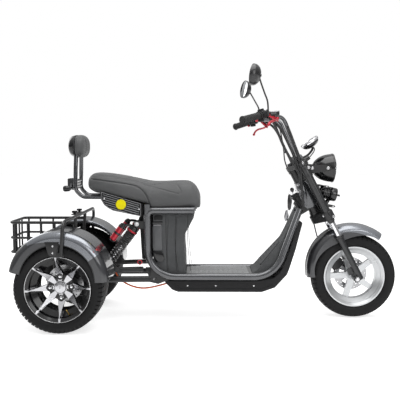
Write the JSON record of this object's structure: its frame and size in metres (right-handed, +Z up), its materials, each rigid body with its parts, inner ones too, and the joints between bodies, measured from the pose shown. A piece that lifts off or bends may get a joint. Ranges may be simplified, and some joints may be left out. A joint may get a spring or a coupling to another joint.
{
  "type": "electric tricycle",
  "caption": "Step-through electric tricycle with a long seat, a rear rack between fendered driven wheels, a sprung swing arm and a raked telescopic fork.",
  "frame": {"origin": "on the ground under the middle of the overall length, on the centre line", "axes": "+X forward, +Y to the rider's left, +Z up"},
  "size_m": [2.092, 0.8, 1.336],
  "materials": {
    "frame_paint": "gloss",
    "fender_paint": "metallic gloss",
    "black_steel": "satin",
    "black_plastic": "fine grain",
    "box_plastic": "grained",
    "seat_cover": "soft grain",
    "tyre_rubber": "matt",
    "front_rim_silver": "satin",
    "rear_rim_alloy": "machined and black",
    "disc_steel": "brushed",
    "fork_metal": "polished",
    "grip_rubber": "matt",
    "red_anodised": "anodised",
    "shock_parts": "gloss",
    "reflector_yellow": "prismatic",
    "lamp_plastic": "gloss",
    "tail_lamp_red": "gloss",
    "mirror_shell": "satin",
    "cable_orange": "satin",
    "mat_rubber": "gloss",
    "motor_metal": "painted",
    "lamp_glass": "clear",
    "cable_black": "satin"
  },
  "bodies": {
    "chassis": {"backrest_frame": "black_steel", "backrest_pad": "seat_cover", "battery_box": "box_plastic", "battery_handles": "black_plastic", "belly_pan": "black_plastic", "fender_hoop": "black_steel", "foot_deck": "frame_paint", "foot_mat": "mat_rubber", "frame_crossbars": "black_steel", "frame_left": "frame_paint", "frame_right": "frame_paint", "ignition_switch": "lamp_plastic", "leg_shield": "box_plastic", "motor_axle": "motor_metal", "motor_cable": "cable_orange", "neck_cover": "frame_paint", "rear_calipers": "black_steel", "rear_fender_left": "fender_paint", "rear_fender_right": "fender_paint", "rear_panel": "black_plastic", "rear_rack": "black_steel", "seat": "seat_cover", "seat_base": "black_plastic", "shock_absorbers": "shock_parts", "shock_springs": "black_steel", "side_grilles": "black_plastic", "side_reflectors": "reflector_yellow", "steering_head": "black_steel", "swing_arm": "black_steel", "tail_lamps": "tail_lamp_red"},
    "steering": {"fork_legs": "fork_metal", "front_axle": "disc_steel", "fork_yokes": "black_steel", "handlebar": "frame_paint", "grips": "grip_rubber", "switchgear": "black_plastic", "brake_levers": "red_anodised", "mirrors": "mirror_shell", "speedometer": "lamp_plastic", "headlamp": "lamp_plastic", "headlamp_bracket": "black_steel", "horn_lamps": "lamp_plastic", "front_fender": "fender_paint", "front_caliper": "black_steel", "headlamp_lens": "lamp_glass", "brake_hose": "cable_black", "control_harness": "cable_black"},
    "front_wheel": {"front_tyre": "tyre_rubber", "front_rim": "front_rim_silver", "front_disc": "disc_steel"},
    "rear_wheel_left": {"rear_tyre_left": "tyre_rubber", "rear_rim_left": "rear_rim_alloy", "rear_disc_left": "disc_steel"},
    "rear_wheel_right": {"rear_tyre_right": "tyre_rubber", "rear_rim_right": "rear_rim_alloy", "rear_disc_right": "disc_steel"}
  },
  "joints": [
    {"name": "steering_turn", "type": "hinge", "parent": "chassis", "child": "steering", "pos_m": [0.54865, 0, 0.68834], "axis": [-0.4617, 0, 0.887], "range_deg": [-35, 35]},
    {"name": "front_wheel_spin", "type": "hinge", "parent": "steering", "child": "front_wheel", "pos_m": [0.816, 0, 0.23], "axis": [0, 1, 0], "continuous": true},
    {"name": "rear_wheel_left_spin", "type": "hinge", "parent": "chassis", "child": "rear_wheel_left", "pos_m": [-0.728, 0.27, 0.228], "axis": [0, 1, 0], "continuous": true},
    {"name": "rear_wheel_right_spin", "type": "hinge", "parent": "chassis", "child": "rear_wheel_right", "pos_m": [-0.728, -0.27, 0.228], "axis": [0, 1, 0], "continuous": true}
  ]
}
